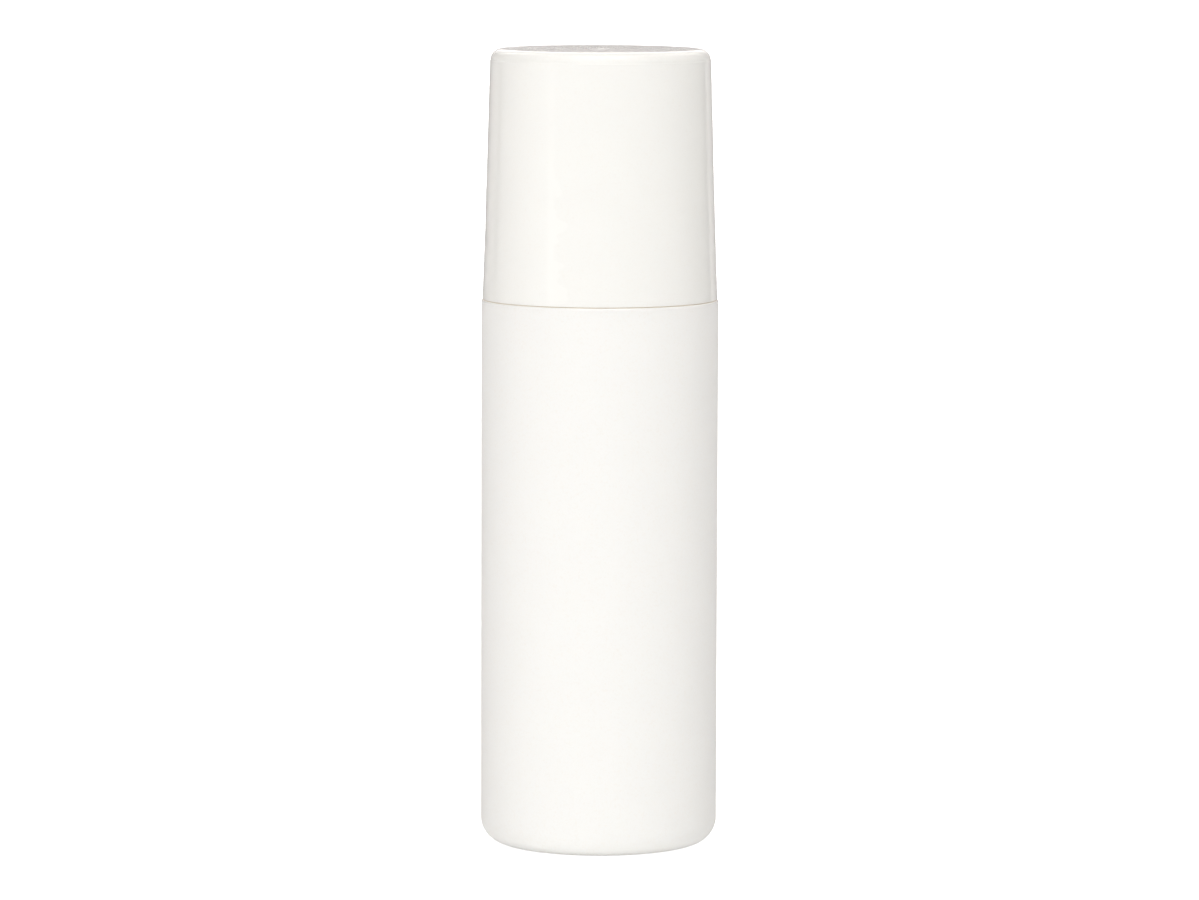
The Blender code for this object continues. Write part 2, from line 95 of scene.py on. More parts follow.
# The liner and the disc
LINER_WALL = 0.0007
LINER_CROWN = 0.0010
LINER_EDGE = 0.0012
LINER_EDGE_END = 1.8
LINER_FIRST_ROW = 0.001
LINER_THREAD_TOP = 0.01253
LINER_FINE_TOP = 0.0098
LINER_ROUND = 0.0002
THREAD_ROOT = 0.014445
COLLAR_WALL = 0.0008
COLLAR_LIP = 0.0004
COLLAR_LIP_TALL = 0.0005
COLLAR_LIP_ROUND = 0.00015
COLLAR_CLEAR = 0.0005
DISC_RADIUS = 0.0090
DISC_TALL = 0.0024
DISC_EDGE = 0.0003
DISC_STEP = 0.0008
DISH_RADIUS = 0.0072
DISH_FLAT = 0.0010
DISH_DEPTH = 0.00022

# The ball and its housing
BALL_RADIUS = 0.012695
BALL_CENTRE = 0.096005
CUP_BORE = 0.012895
CUP_RADIUS = 0.013495
FLANGE_RADIUS = 0.013495
FLANGE_ROUND = 0.0002
PLUG_LONG = 0.0056
PLUG_BODY = 0.011345
PLUG_RIB = 0.0003
PLUG_RIB_WIDTH = 0.0008
PLUG_RIB_SHARES = (0.30, 0.62)
PLUG_LEAD_IN = 0.0006
PLUG_WALL = 0.0009
SEAT_REACH = 0.0011
SEAT_THICK = 0.0008
LIP_REACH = 0.00035
LIP_TALL = 0.0005
LIP_FILLET = 0.0006


# Outlines

# Points closer than SAME_PLACE are one, and a radius below ON_AXIS is a pole
SAME_PLACE = 1e-7
ON_AXIS = 1e-9
SHARP_ANGLE = math.radians(38)

# The share of a thread's widths that is left where it runs out
BEAD_ROOT_AT_END = 0.4
BEAD_CREST_AT_END = 0.3

# A block's six sides, by the order in which its corners are made
BLOCK_FACES = ((0, 1, 3, 2), (4, 6, 7, 5), (0, 4, 5, 1), (2, 3, 7, 6), (0, 2, 6, 4), (1, 5, 7, 3))


def at(r, height):
    """A place on an outline, by its radius and its height above the shoulder."""
    return (r, SHOULDER + height)


def arc(centre, radius, start, end, steps=14):
    """Points (r, z) along an arc, its two ends included. The angles are in degrees."""
    turns = np.radians(np.linspace(start, end, steps + 1))
    return [(centre[0] + radius * math.cos(t), centre[1] + radius * math.sin(t)) for t in turns]


def line(start, end, step=0.0015):
    """Points along a straight stretch, its two ends included."""
    count = max(1, math.ceil(math.dist(start, end) / step))
    return [tuple(point) for point in np.linspace(start, end, count + 1)]


def swell(start, end, steps=16):
    """Points along a soft S between two places, level at both ends."""
    share = np.linspace(0, 1, steps + 1)
    rise = (1 - np.cos(np.pi * share)) / 2
    return [
        (start[0] + (end[0] - start[0]) * a, start[1] + (end[1] - start[1]) * b)
        for a, b in zip(share, rise)
    ]


def ring_angles(count, close_at=(), offsets=()):
    """Angles round the axis, with extra ones close to the places that carry a fine line."""
    even = list(np.linspace(0, 2 * np.pi, count, endpoint=False))
    extra = [
        (place + side * offset) % (2 * np.pi)
        for place in close_at
        for offset in offsets
        for side in (-1, 1)
    ]
    return np.unique(np.round(even + extra, 6))


def smooth(value, low, high):
    """0 below low, 1 above high, and a smooth step between."""
    share = np.clip((value - low) / (high - low), 0, 1)
    return share * share * (3 - 2 * share)


def waves(z, turns, terms, start=0):
    """Waves added up. A term is a length over two pi, a count of lobes round Z, a phase and a weight."""
    total = start
    for length, lobes, phase, weight in terms:
        total = total + weight * np.sin(z / length + lobes * turns + phase)
    return total


def skin(name, stretches, angles, shapes=None):
    """A closed mesh turned about Z from named stretches of outline points.

    A stretch's shape takes its radii, heights and angles as grids and returns new radii and heights.
    An outline that starts and ends on the axis closes there; any other closes on itself.
    """
    grid_r, grid_z = [], []
    last = None
    for label, points in stretches:
        if last is not None and math.dist(points[0], last) < SAME_PLACE:
            points = points[1:]
        last = points[-1]
        r = np.repeat(np.array([p[0] for p in points])[:, None], len(angles), axis=1)
        z = np.repeat(np.array([p[1] for p in points])[:, None], len(angles), axis=1)
        turns = np.repeat(angles[None, :], len(points), axis=0)
        if shapes and label in shapes:
            r, z = shapes[label](r, z, turns)
        grid_r.append(r)
        grid_z.append(z)
    r, z = np.vstack(grid_r), np.vstack(grid_z)
    rows, count = r.shape
    poles = r[0].max() < ON_AXIS and r[-1].max() < ON_AXIS
    middle = slice(1, -1) if poles else slice(0, rows)
    x = r[middle] * np.cos(angles)
    y = r[middle] * np.sin(angles)
    points = np.stack([x, y, z[middle]], axis=-1).reshape(-1, 3)
    rings = len(x)
    index = np.arange(rings * count).reshape(rings, count)
    beside = np.roll(index, -1, axis=1)
    if poles:
        faces = np.stack([index[:-1], beside[:-1], beside[1:], index[1:]], axis=-1).reshape(-1, 4).tolist()
        first, end = len(points), len(points) + 1
        points = np.vstack([points, [(0, 0, z[0, 0]), (0, 0, z[-1, 0])]])
        faces += [(first, int(b), int(a)) for a, b in zip(index[0], beside[0])]
        faces += [(end, int(a), int(b)) for a, b in zip(index[-1], beside[-1])]
    else:
        up, up_beside = np.roll(index, -1, axis=0), np.roll(beside, -1, axis=0)
        faces = np.stack([index, beside, up_beside, up], axis=-1).reshape(-1, 4).tolist()
    corners = [(f[0], f[1], f[2]) for f in faces]
    corners += [(f[0], f[2], f[3]) for f in faces if len(f) == 4]
    corners = np.array(corners)
    a, b, c = (points[corners[:, i]] for i in range(3))
    if np.einsum("ij,ij->i", a, np.cross(b, c)).sum() < 0:
        faces = [tuple(reversed(f)) for f in faces]
    mesh = bpy.data.meshes.new(name)
    mesh.from_pydata(points.tolist(), [], faces)
    mesh.validate()
    mesh.shade_smooth()
    mesh.set_sharp_from_angle(angle=SHARP_ANGLE)
    obj = bpy.data.objects.new(name, mesh)
    bpy.context.scene.collection.objects.link(obj)
    return obj


def thread_rise(turns, heights, start, first_turn, last_turn, bead):
    """How far a helical bead stands out of its wall at each point, running out softly at its two ends."""
    rise = np.zeros_like(turns)
    for lap in range(int(last_turn) + 1):
        turn = turns / (2 * np.pi) + lap
        share = (turn - first_turn) / (last_turn - first_turn)
        fade = smooth(np.minimum(share, 1 - share), 0, BEAD_FADE)
        off = np.abs(heights - start - LEAD * turn)
        half_root = bead["root"] / 2 * (BEAD_ROOT_AT_END + (1 - BEAD_ROOT_AT_END) * fade)
        half_crest = bead["crest"] / 2 * (BEAD_CREST_AT_END + (1 - BEAD_CREST_AT_END) * fade)
        rise = np.maximum(rise, fade * bead["depth"] * smooth(-off, -half_root, -half_crest))
    return rise


def cut(obj, other, operation):
    """Applies a Boolean with a helper and removes the helper."""
    modifier = obj.modifiers.new(other.name, "BOOLEAN")
    modifier.operation = operation
    modifier.solver = "EXACT"
    modifier.object = other
    mesh = bpy.data.meshes.new_from_object(obj.evaluated_get(bpy.context.evaluated_depsgraph_get()))
    obj.modifiers.clear()
    obj.data = mesh
    mesh.name = obj.name
    mesh.set_sharp_from_angle(angle=SHARP_ANGLE)
    bpy.data.objects.remove(other)


def lug_blocks(name, size, radius, middle):
    """The row of blocks round the crown, one at each lug's place."""
    points, faces = [], []
    for i in range(LUG["count"]):
        turn = 2 * math.pi * i / LUG["count"]
        base = len(points)
        for dx in (-0.5, 0.5):
            for dy in (-0.5, 0.5):
                for dz in (-0.5, 0.5):
                    x, y = radius + dx * size[0], dy * size[1]
                    points.append((
                        x * math.cos(turn) - y * math.sin(turn),
                        x * math.sin(turn) + y * math.cos(turn),
                        middle + dz * size[2],
                    ))
        for quad in BLOCK_FACES:
            faces.append([base + k for k in quad])
    mesh = bpy.data.meshes.new(name)
    mesh.from_pydata(points, [], faces)
    obj = bpy.data.objects.new(name, mesh)
    bpy.context.scene.collection.objects.link(obj)
    return obj


# Materials

# A colour Mix node's two colour sockets and its colour output, which share their names with other sockets
MIX_FIRST = 6
MIX_SECOND = 7
MIX_RESULT = 2

# The number Mix node's two number sockets
MIX_LOW = 2
MIX_HIGH = 3

# What all the plastics share: their index of refraction, and how far red, green and blue light scatters
PLASTIC_INDEX = 1.5
SCATTER = (1.0, 0.90, 0.80)

# Each plastic's colours, as linear red, green, blue and alpha
BOTTLE_PALE = (0.909, 0.906, 0.877, 1)
BOTTLE_WARM = (0.901, 0.899, 0.871, 1)
BOTTLE_SPECK = (0.880, 0.857, 0.807, 1)
BOTTLE_WORN = (0.80, 0.775, 0.725, 1)
CAP_PALE = (0.909, 0.905, 0.866, 1)
CAP_WARM = (0.900, 0.897, 0.859, 1)
CAP_SPECK = (0.885, 0.861, 0.807, 1)
CAP_WORN = (0.84, 0.82, 0.78, 1)
HOUSING_PALE = (0.875, 0.880, 0.872, 1)
HOUSING_GREY = (0.845, 0.852, 0.845, 1)
HOUSING_WORN = (0.80, 0.80, 0.78, 1)
BALL_PALE = (0.925, 0.925, 0.915, 1)
BALL_GREY = (0.905, 0.906, 0.898, 1)
BALL_MARKED = (0.86, 0.86, 0.85, 1)
LINER_PALE = (0.865, 0.865, 0.850, 1)
LINER_GREY = (0.840, 0.841, 0.830, 1)
LINER_WORN = (0.79, 0.79, 0.77, 1)
DISC_PALE = (0.805, 0.800, 0.775, 1)
DISC_GREY = (0.765, 0.762, 0.742, 1)
DISC_SPECK = (0.72, 0.715, 0.69, 1)

# Painted warm shade in the seam between cap and body, standing in for the shadow in the gap and the light
# that shines through the plastic there, and how much of it
SEAM_SHADE_TAN = (0.86, 0.71, 0.52, 1)
SEAM_SHADE_SHARE = 0.42


def plug(tree, socket, value):
    """Links a socket to another, or gives it a value."""
    if isinstance(value, bpy.types.NodeSocket):
        tree.links.new(value, socket)
    else:
        socket.default_value = value


def new_node(tree, kind, inputs=None, **settings):
    """A new node with its settings, and with its inputs linked or set."""
    node = tree.nodes.new(kind)
    for key, value in settings.items():
        setattr(node, key, value)
    for key, value in (inputs or {}).items():
        plug(tree, node.inputs[key], value)
    return node


class Graph:
    """A material's node tree, built by naming each node's inputs."""

    def __init__(self, name):
        self.material = bpy.data.materials.new(name)
        self.material.use_nodes = True
        self.tree = self.material.node_tree
        self.shader = self.tree.nodes["Principled BSDF"]
        self.place = self.add("ShaderNodeTexCoord").outputs["Object"]

    def add(self, kind, inputs=None, **settings):
        """A new node in this tree."""
        return new_node(self.tree, kind, inputs, **settings)

    def plug(self, socket, value):
        """Links one of this tree's sockets, or gives it a value."""
        plug(self.tree, socket, value)

    def noise(self, scale, detail=2.0, roughness=0.5, place=None):
        """A cloudy pattern round 0.5. Its scale is in cycles a metre, unless the place is squeezed."""
        node = self.add("ShaderNodeTexNoise", {
            "Vector": place or self.place, "Scale": scale, "Detail": detail, "Roughness": roughness,
        })
        return node.outputs["Fac"]

    def stretched(self, turn, squeeze):
        """The place coordinates turned and squeezed, for marks that run one way."""
        node = self.add("ShaderNodeMapping", {
            "Vector": self.place, "Rotation": tuple(math.radians(t) for t in turn), "Scale": squeeze,
        })
        return node.outputs["Vector"]

    def math(self, operation, first, second=0.0):
        """The result of one sum."""
        node = self.add("ShaderNodeMath", {0: first, 1: second}, operation=operation)
        return node.outputs[0]

    def range(self, value, low, high, to_low=0.0, to_high=1.0):
        """A smooth step from one level to another as the value goes from low to high."""
        node = self.add("ShaderNodeMapRange", {
            "Value": value, "From Min": low, "From Max": high, "To Min": to_low, "To Max": to_high,
        }, interpolation_type="SMOOTHSTEP")
        return node.outputs["Result"]

    def blend(self, factor, first, second):
        """A mix of two colours."""
        node = self.add("ShaderNodeMix", data_type="RGBA")
        self.plug(node.inputs["Factor"], factor)
        self.plug(node.inputs[MIX_FIRST], first)
        self.plug(node.inputs[MIX_SECOND], second)
        return node.outputs[MIX_RESULT]

    def height(self):
        """The height above the ring that the bottle stands on."""
        return self.add("ShaderNodeSeparateXYZ", {"Vector": self.place}).outputs["Z"]

    def radius(self):
        """The distance from the bottle's axis."""
        flat = self.add("ShaderNodeVectorMath", {0: self.place, 1: (1.0, 1.0, 0.0)}, operation="MULTIPLY")
        return self.add("ShaderNodeVectorMath", {0: flat.outputs[0]}, operation="LENGTH").outputs["Value"]

    def band(self, value, middle, half, soft):
        """1 inside a band of values, 0 outside it."""
        off = self.math("ABSOLUTE", self.math("SUBTRACT", value, middle))
        return self.range(off, half + soft, half)

    def bump(self, heights):
        """Chains bumps, each a pair of its height map and its depth in metres."""
        normal = None
        for value, depth in heights:
            inputs = {"Height": value, "Distance": depth, "Strength": 1.0}
            if normal is not None:
                inputs["Normal"] = normal
            normal = self.add("ShaderNodeBump", inputs).outputs["Normal"]
        self.plug(self.shader.inputs["Normal"], normal)

    def finish(self, colour, roughness, subsurface, depth, specular=0.5):
        """Sets the shader up as a plastic that scatters light to a small depth in metres."""
        inputs = self.shader.inputs
        self.plug(inputs["Base Color"], colour)
        self.plug(inputs["Roughness"], roughness)
        inputs["Metallic"].default_value = 0
        inputs["IOR"].default_value = PLASTIC_INDEX
        inputs["Specular IOR Level"].default_value = specular
        inputs["Subsurface Weight"].default_value = subsurface
        inputs["Subsurface Radius"].default_value = SCATTER
        inputs["Subsurface Scale"].default_value = depth
        return self.material


# The three ways that the marks run, how far they are drawn out, and how soft they are
SCRATCH_TURNS = (0, 57, 118)
SCRATCH_SQUEEZE = (260.0, 9000.0, 420.0)
SCRATCH_EDGE = 0.06


def scratches(g, seed_turn, share=0.70):
    """Thin sparse handling marks that run several ways."""
    total = None
    for i, turn in enumerate(SCRATCH_TURNS):
        place = g.stretched((seed_turn, turn, 20 * i), SCRATCH_SQUEEZE)
        mark = g.range(g.noise(1.0, 1.0, 0.4, place), share, share + SCRATCH_EDGE)
        total = mark if total is None else g.math("MAXIMUM", total, mark)
    patches = g.range(g.noise(160.0, 1.0), 0.48, 0.62)
    return g.math("MULTIPLY", total, patches)


def bottle_plastic():
    """Satin blow-moulded polyethylene, warm white, faintly grained, scuffed where it stands and rubs."""
    g = Graph("bottle_plastic")
    cloud = g.noise(55.0, 3.0, 0.55)
    speck = g.noise(3200.0, 2.0, 0.6)
    grain = g.noise(4200.0, 2.0, 0.6)
    peel = g.noise(900.0, 1.0)
    foot = g.band(g.height(), 0.0, half=0.00025, soft=0.0006)
    edge = g.band(g.height(), SHOULDER - 0.00013, half=0.00010, soft=0.00010)
    broken = g.range(g.noise(1400.0, 3.0, 0.7), 0.42, 0.66)
    wear = g.math("MULTIPLY", g.math("MAXIMUM", foot, g.math("MULTIPLY", edge, 0.2)), broken)
    warm = g.blend(cloud, BOTTLE_PALE, BOTTLE_WARM)
    speckled = g.blend(g.range(speck, 0.48, 0.74, 0.0, 0.55), warm, BOTTLE_SPECK)
    colour = g.blend(g.math("MULTIPLY", wear, 0.5), speckled, BOTTLE_WORN)
    # Painted warm shade along the body's shoulder edge, where the cap meets it at the seam
    seam = g.band(g.height(), SHOULDER, half=0.00005, soft=0.00008)
    outer = g.band(g.radius(), BODY_RADIUS - SHOULDER_EDGE, half=0.0003, soft=0.0002)
    seam_shade = g.math("MULTIPLY", seam, outer)
    colour = g.blend(g.math("MULTIPLY", seam_shade, SEAM_SHADE_SHARE), colour, SEAM_SHADE_TAN)
    rough = g.math("ADD", g.range(grain, 0.3, 0.7, 0.36, 0.46), g.math("MULTIPLY", cloud, 0.04))
    rough = g.math("ADD", rough, g.math("MULTIPLY", wear, 0.18))
    rough = g.math("SUBTRACT", rough, g.math("MULTIPLY", edge, 0.28))
    g.bump([(peel, 0.000006), (grain, 0.0000055), (broken, 0.000002)])
    return g.finish(colour, rough, subsurface=0.10, depth=0.0010, specular=0.42)


# The painted highlight strip's two sides along X, its teeth's length, its edges' softness and how pale it is
HIGHLIGHT_LEFT = -0.00745
HIGHLIGHT_RIGHT = -0.00650
HIGHLIGHT_TOOTH = 0.0019
HIGHLIGHT_SOFT = 0.00022
HIGHLIGHT_PALE = (0.920, 0.916, 0.877, 1)


def painted_highlight_strip(g):
    """A painted highlight: a pale strip down the front of the wall, toothed on its right towards the cap's
    foot.
    """
    place = g.add("ShaderNodeSeparateXYZ", {"Vector": g.place}).outputs
    level_noise = g.noise(1.0, 1.0, 0.6, g.stretched((0, 0, 0), (0.0, 0.0, 330.0)))
    saw = g.range(level_noise, 0.42, 0.62, 0.0, HIGHLIGHT_TOOTH)
    low = g.range(g.height(), SHOULDER + 0.013, SHOULDER + 0.020, 1.0, 0.05)
    right = g.math("SUBTRACT", place["X"], g.math("MULTIPLY", saw, low))
    left_side = g.range(place["X"], HIGHLIGHT_LEFT - 2 * HIGHLIGHT_SOFT, HIGHLIGHT_LEFT + 2 * HIGHLIGHT_SOFT)
    right_side = g.range(right, HIGHLIGHT_RIGHT + HIGHLIGHT_SOFT, HIGHLIGHT_RIGHT - HIGHLIGHT_SOFT)
    ribbon = g.math("MULTIPLY", left_side, right_side)
    ribbon = g.math("MULTIPLY", ribbon, g.range(g.height(), SHOULDER + 0.012, SHOULDER + 0.028, 1.0, 0.40))
    ribbon = g.math("MULTIPLY", ribbon, g.range(g.height(), HEIGHT - 0.0030, HEIGHT - 0.0018, 1.0, 0.0))
    return g.math("MULTIPLY", ribbon, g.range(place["Y"], 0.0, -0.004))


def cap_plastic():
    """Glossy moulded polypropylene, warm white, with an uneven skin, a painted highlight strip down its
    front and faint marks.
    """
    g = Graph("cap_plastic")
    cloud = g.noise(45.0, 3.0, 0.55)
    speck = g.noise(3000.0, 2.0, 0.6)
    sag = g.noise(1.0, 0.0, 0.5, g.stretched((0, 0, 0), (230.0, 230.0, 320.0)))
    peel = g.noise(520.0, 2.0, 0.45)
    fine = g.noise(5200.0, 1.0)
    marks = scratches(g, 12)
    rim = g.band(g.height(), HEIGHT - 0.0005, half=0.0005, soft=0.0006)
    foot = g.band(g.height(), SHOULDER + 0.0003, half=0.0001, soft=0.0003)
    broken = g.range(g.noise(1700.0, 3.0, 0.7), 0.46, 0.70)
    wear = g.math("MULTIPLY", g.math("MAXIMUM", rim, foot), broken)
    warm = g.blend(cloud, CAP_PALE, CAP_WARM)
    speckled = g.blend(g.range(speck, 0.50, 0.74, 0.0, 0.40), warm, CAP_SPECK)
    colour = g.blend(g.math("MULTIPLY", wear, 0.25), speckled, CAP_WORN)
    # A painted highlight strip, paler than the cap, only on the side that faces the camera
    painted_highlight = painted_highlight_strip(g)
    colour = g.blend(painted_highlight, colour, HIGHLIGHT_PALE)
    # Painted warm shade along the cap's foot at the seam
    seam_shade = g.band(g.height(), SHOULDER, half=0.00005, soft=0.00006)
    colour = g.blend(g.math("MULTIPLY", seam_shade, SEAM_SHADE_SHARE), colour, SEAM_SHADE_TAN)
    rough = g.math("ADD", g.range(cloud, 0.35, 0.65, 0.05, 0.08), g.math("MULTIPLY", marks, 0.06))
    rough = g.math("ADD", rough, g.math("MULTIPLY", wear, 0.16))
    rough = g.math("ADD", rough, g.math("MULTIPLY", painted_highlight, 0.06))
    level = g.range(g.height(), HEIGHT - 0.0012, HEIGHT - 0.0001, 1.0, 0.10)
    skin_height = g.math("MULTIPLY", g.math("ADD", peel, g.math("MULTIPLY", fine, 0.15)), level)
    lower = g.math("MULTIPLY", level, g.range(g.height(), SHOULDER + 0.010, SHOULDER + 0.022, 1.0, 0.12))
    sunk = g.math("MULTIPLY", sag, lower)
    unmarked = g.math("SUBTRACT", 1.0, marks)
    g.bump([(sunk, 0.000070), (skin_height, 0.0000020), (unmarked, 0.0000002)])
    return g.finish(colour, rough, subsurface=0.08, depth=0.0010)


def housing_plastic():
    """Smooth natural polyethylene, slightly milky, with faint turned rings and a worn lip."""
    g = Graph("housing_plastic")
    cloud = g.noise(140.0, 3.0, 0.55)
    fine = g.noise(3600.0, 2.0, 0.6)
    rings = g.noise(1.0, 2.0, 0.5, g.stretched((0, 0, 0), (60.0, 60.0, 5200.0)))
    lip = g.band(g.height(), 0.1000, half=0.0002, soft=0.0006)
    broken = g.range(g.noise(1500.0, 3.0, 0.7), 0.44, 0.68)
    wear = g.math("MULTIPLY", lip, broken)
    milky = g.blend(cloud, HOUSING_PALE, HOUSING_GREY)
    colour = g.blend(g.math("MULTIPLY", wear, 0.3), milky, HOUSING_WORN)
    rough = g.math("ADD", g.range(fine, 0.3, 0.7, 0.26, 0.34), g.math("MULTIPLY", wear, 0.15))
    g.bump([(rings, 0.0000030), (fine, 0.0000020)])
    return g.finish(colour, rough, subsurface=0.35, depth=0.0018)


def ball_plastic():
    """Polished white polypropylene with the fine swirls that rolling leaves."""
    g = Graph("ball_plastic")
    cloud = g.noise(120.0, 2.0, 0.5)
    peel = g.noise(700.0, 2.0, 0.45)
    marks = scratches(g, 70, 0.68)
    colour = g.blend(cloud, BALL_PALE, BALL_GREY)
    colour = g.blend(g.math("MULTIPLY", marks, 0.12), colour, BALL_MARKED)
    rough = g.math("ADD", g.range(cloud, 0.35, 0.65, 0.07, 0.11), g.math("MULTIPLY", marks, 0.12))
    g.bump([(peel, 0.0000012), (g.math("SUBTRACT", 1.0, marks), 0.0000005)])
    return g.finish(colour, rough, subsurface=0.10, depth=0.0010)


def liner_plastic():
    """Satin moulded polypropylene, a shade cooler than the shell, with the mould's fine tool marks."""
    g = Graph("liner_plastic")
    cloud = g.noise(90.0, 3.0, 0.55)
    grain = g.noise(2800.0, 2.0, 0.6)
    rings = g.noise(1.0, 2.0, 0.5, g.stretched((0, 0, 0), (40.0, 40.0, 4200.0)))
    crest = g.band(g.radius(), THREAD_ROOT - CAP_BEAD["depth"], half=0.00008, soft=0.00012)
    broken = g.range(g.noise(1500.0, 3.0, 0.7), 0.44, 0.68)
    wear = g.math("MULTIPLY", crest, broken)
    pale = g.blend(cloud, LINER_PALE, LINER_GREY)
    colour = g.blend(g.math("MULTIPLY", wear, 0.4), pale, LINER_WORN)
    rough = g.math("ADD", g.range(grain, 0.3, 0.7, 0.28, 0.40), g.math("MULTIPLY", wear, 0.15))
    g.bump([(rings, 0.0000035), (grain, 0.0000030)])
    return g.finish(colour, rough, subsurface=0.15, depth=0.0012)


def disc_elastomer():
    """Soft matt elastomer, finely grained, polished in a ring where the ball presses it."""
    g = Graph("disc_elastomer")
    cloud = g.noise(110.0, 3.0, 0.6)
    grain = g.noise(3800.0, 3.0, 0.65)
    pebble = g.noise(1500.0, 1.0)
    ring = g.range(g.radius(), 0.0045, 0.0020)
    tone = g.blend(cloud, DISC_PALE, DISC_GREY)
    colour = g.blend(g.range(grain, 0.58, 0.74, 0.0, 0.3), tone, DISC_SPECK)
    rough = g.math("SUBTRACT", g.range(grain, 0.3, 0.7, 0.58, 0.74), g.math("MULTIPLY", ring, 0.20))
    g.bump([(pebble, 0.0000060), (grain, 0.0000070)])
    return g.finish(colour, rough, subsurface=0.20, depth=0.0012, specular=0.4)


# Pieces

def shown(obj, material, node, body):
    """Gives a piece its material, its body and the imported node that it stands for."""
    obj.data.materials.clear()
    obj.data.materials.append(material)
    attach(obj, body)
    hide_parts(node)


# The mould's parting lines: their angles, the fine angles beside them, and half their width
PARTING = (0.0, math.pi)
PARTING_BESIDE = (0.000, 0.0045, 0.009, 0.0135, 0.018)
PARTING_HALF = 0.00012

# How far the blown wall lies inside its full radius, and the depth and the terms of its slow waves
WALL_EASE = 0.000018
WALL_WAVE = 0.000020
WALL_TERMS = ((0.0030, 2, 0.4, 1.0), (0.0047, -3, 1.9, 0.8), (0.0100, 5, 0.0, 0.6))
WALL_PEAK = 2.4

# The pinch line under the foot: half its width, its depth, where its ends fade, and its raggedness
PINCH_HALF = 0.00030
PINCH_DROP = 0.00030
PINCH_ENDS = (0.0063, 0.0070)
PINCH_RAGGED = ((0.00033, 0, 0.0, 0.00004), (0.00013, 0, 1.0, 0.00003))
PINCH_WANDER = ((0.0009, 0, 0.0, 0.00002),)
PINCH_NOTCHES = ((0.00055, 0, 0.7, 0.12),)
PINCH_LEAST = 0.88


def wall_shape(r, z, turns):
    """The blown wall, a hair inside its full radius and slowly wavy, and full size on its parting lines."""
    across = np.minimum(turns, np.abs(turns - np.pi))
    across = np.minimum(across, 2 * np.pi - turns) * BODY_RADIUS
    line_up = 1 - smooth(across, PARTING_HALF * 0.4, PARTING_HALF * 1.6)
    above = smooth(z, FOOT_RADIUS, FOOT_RADIUS + 0.004)
    inside = above * (1 - smooth(z, SHOULDER - 0.006, SHOULDER - 0.0009))
    slow = WALL_WAVE * (waves(z, turns, WALL_TERMS) / WALL_PEAK + 1) / 2 * inside
    return r - WALL_EASE * (1 - line_up) - slow * (1 - line_up), z


def pinch_shape(r, z, turns):
    """The trimmed pinch line across the middle of the foot, a little ragged along its length."""
    x, y = r * np.cos(turns), r * np.sin(turns)
    half = PINCH_HALF + waves(x, 0, PINCH_RAGGED)
    bead = 1 - smooth(np.abs(y + waves(x, 0, PINCH_WANDER)), half * 0.55, half * 1.35)
    ends = 1 - smooth(np.abs(x), *PINCH_ENDS)
    drop = PINCH_DROP * (PINCH_LEAST + waves(x, 0, PINCH_NOTCHES))
    return r, z - bead * ends * drop


def neck_shape(r, z, turns):
    """The neck's wall with its thread standing out."""
    rise = thread_rise(turns, z, SHOULDER + NECK_BEAD_START, 0, NECK_BEAD_TURNS, NECK_BEAD)
    return r + rise, z


